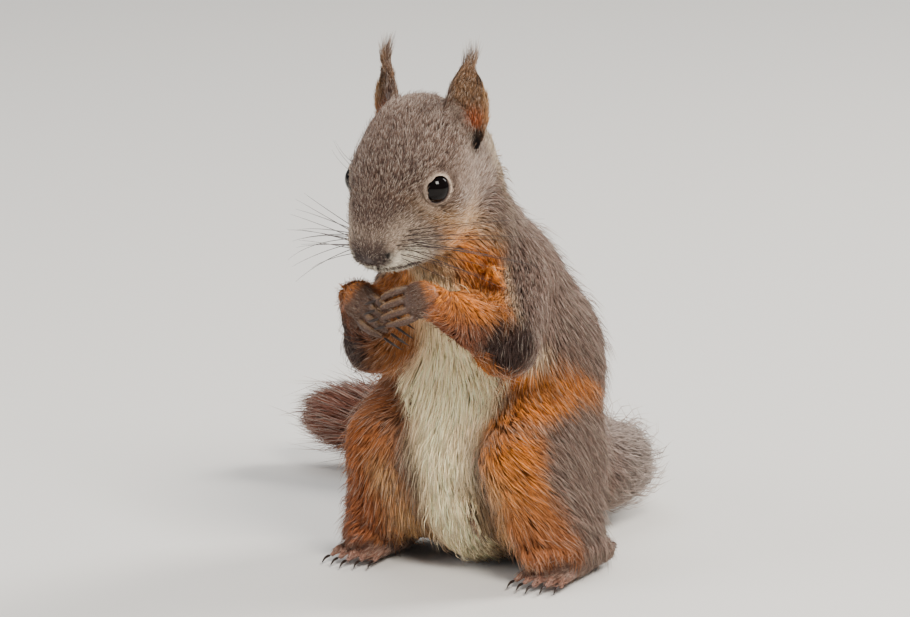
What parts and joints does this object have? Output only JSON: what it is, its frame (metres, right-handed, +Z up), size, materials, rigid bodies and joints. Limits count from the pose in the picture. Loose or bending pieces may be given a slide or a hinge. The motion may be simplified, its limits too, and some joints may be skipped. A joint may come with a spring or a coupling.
{
  "type": "squirrel, still model",
  "caption": "Life-size red squirrel sitting upright on its haunches, hands held together at its mouth, ears tufted, tail lying on the ground behind it.",
  "frame": {"origin": "on the floor, in the middle of the flat that the rump rests on", "axes": "+Z up, the animal faces -Y, its left side is at +X"},
  "size_m": [0.1676, 0.1893, 0.1811],
  "materials": {
    "coat": "dense grey-brown and rufous fur, cream-white below",
    "tail": "long loose brown fur with paler tips",
    "hand": "dark skin under very short hair",
    "eye": "wet, black-brown and shiny",
    "claw": "dark horn, slightly shiny"
  },
  "bodies": {
    "root": {"ear_left": "coat", "ear_right": "coat", "eye_left": "eye", "eye_right": "eye", "finger_claw_left_1": "claw", "finger_claw_left_2": "claw", "finger_claw_left_3": "claw", "finger_claw_left_4": "claw", "finger_claw_right_1": "claw", "finger_claw_right_2": "claw", "finger_claw_right_3": "claw", "finger_claw_right_4": "claw", "foot_left": "hand", "foot_right": "hand", "forearm_left": "coat", "forearm_right": "coat", "hand_left": "hand", "hand_right": "hand", "head": "coat", "leg_left": "coat", "leg_right": "coat", "neck": "coat", "tail_base": "tail", "tail_end": "tail", "tail_middle": "tail", "toe_claw_left_1": "claw", "toe_claw_left_2": "claw", "toe_claw_left_3": "claw", "toe_claw_left_4": "claw", "toe_claw_left_5": "claw", "toe_claw_right_1": "claw", "toe_claw_right_2": "claw", "toe_claw_right_3": "claw", "toe_claw_right_4": "claw", "toe_claw_right_5": "claw", "trunk": "coat", "upper_arm_left": "coat", "upper_arm_right": "coat"}
  },
  "joints": []
}
